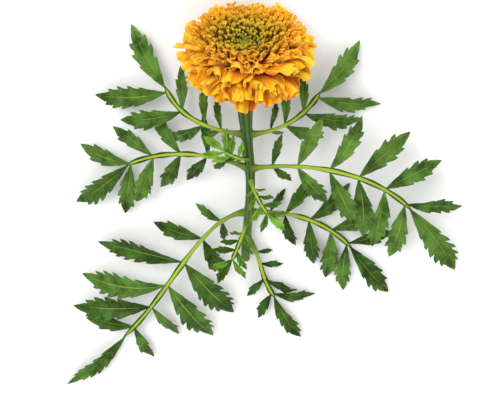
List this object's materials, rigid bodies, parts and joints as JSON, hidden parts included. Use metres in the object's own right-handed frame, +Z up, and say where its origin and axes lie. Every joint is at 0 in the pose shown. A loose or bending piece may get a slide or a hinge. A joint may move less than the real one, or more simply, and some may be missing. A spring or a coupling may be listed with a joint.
{
  "type": "cut double marigold flower",
  "caption": "Ruffled golden-orange globe flower on a cut leafy stem, lying on its side on a flat surface with its face tipped up.",
  "frame": {"origin": "on the resting surface, under the middle of the whole part's box", "axes": "+Z up; the flower's face looks towards -Y, tipped 13.5 degrees up, and the cut stem runs back towards +Y; X across the spread leaves"},
  "size_m": [0.2384, 0.2578, 0.0738],
  "materials": {
    "ray_floret": "soft matt petal, golden at the rim and deep orange at the claw",
    "crest_floret": "soft matt petal, orange",
    "inner_floret": "soft matt petal, orange to yellow-green",
    "centre_bud": "waxy yellow-green bud",
    "involucre": "ribbed satin green",
    "stem": "ridged satin green, pale at the cut",
    "leaf": "satin dark green with a pale midrib",
    "young_leaf": "satin fresh green"
  },
  "bodies": {
    "root": {"ray_floret_01": "ray_floret", "ray_floret_02": "ray_floret", "ray_floret_03": "ray_floret", "ray_floret_04": "ray_floret", "ray_floret_05": "ray_floret", "ray_floret_06": "ray_floret", "ray_floret_07": "ray_floret", "ray_floret_08": "ray_floret", "ray_floret_09": "ray_floret", "ray_floret_10": "ray_floret", "ray_floret_11": "ray_floret", "ray_floret_12": "ray_floret", "ray_floret_13": "ray_floret", "ray_floret_14": "ray_floret", "ray_floret_15": "ray_floret", "ray_floret_16": "ray_floret", "ray_floret_17": "ray_floret", "ray_floret_18": "ray_floret", "ray_floret_19": "ray_floret", "ray_floret_20": "ray_floret", "ray_floret_21": "ray_floret", "ray_floret_22": "ray_floret", "ray_floret_23": "ray_floret", "ray_floret_24": "ray_floret", "ray_floret_25": "ray_floret", "ray_floret_26": "ray_floret", "ray_floret_27": "ray_floret", "ray_floret_28": "ray_floret", "ray_floret_29": "ray_floret", "ray_floret_30": "ray_floret", "ray_floret_31": "ray_floret", "ray_floret_32": "ray_floret", "ray_floret_33": "ray_floret", "ray_floret_34": "ray_floret", "ray_floret_35": "ray_floret", "ray_floret_36": "ray_floret", "ray_floret_37": "ray_floret", "ray_floret_38": "ray_floret", "ray_floret_39": "ray_floret", "ray_floret_40": "ray_floret", "crest_florets": "crest_floret", "inner_florets": "inner_floret", "centre_florets": "centre_bud", "involucre": "involucre", "stem": "stem", "top_leaf_a": "leaf", "top_leaf_b": "leaf", "middle_leaf_a": "leaf", "middle_leaf_b": "leaf", "lower_leaf_a": "leaf", "lower_leaf_b": "leaf", "base_leaf": "leaf", "young_shoot_a": "young_leaf", "young_shoot_b": "young_leaf", "young_shoot_c": "young_leaf"}
  },
  "joints": []
}
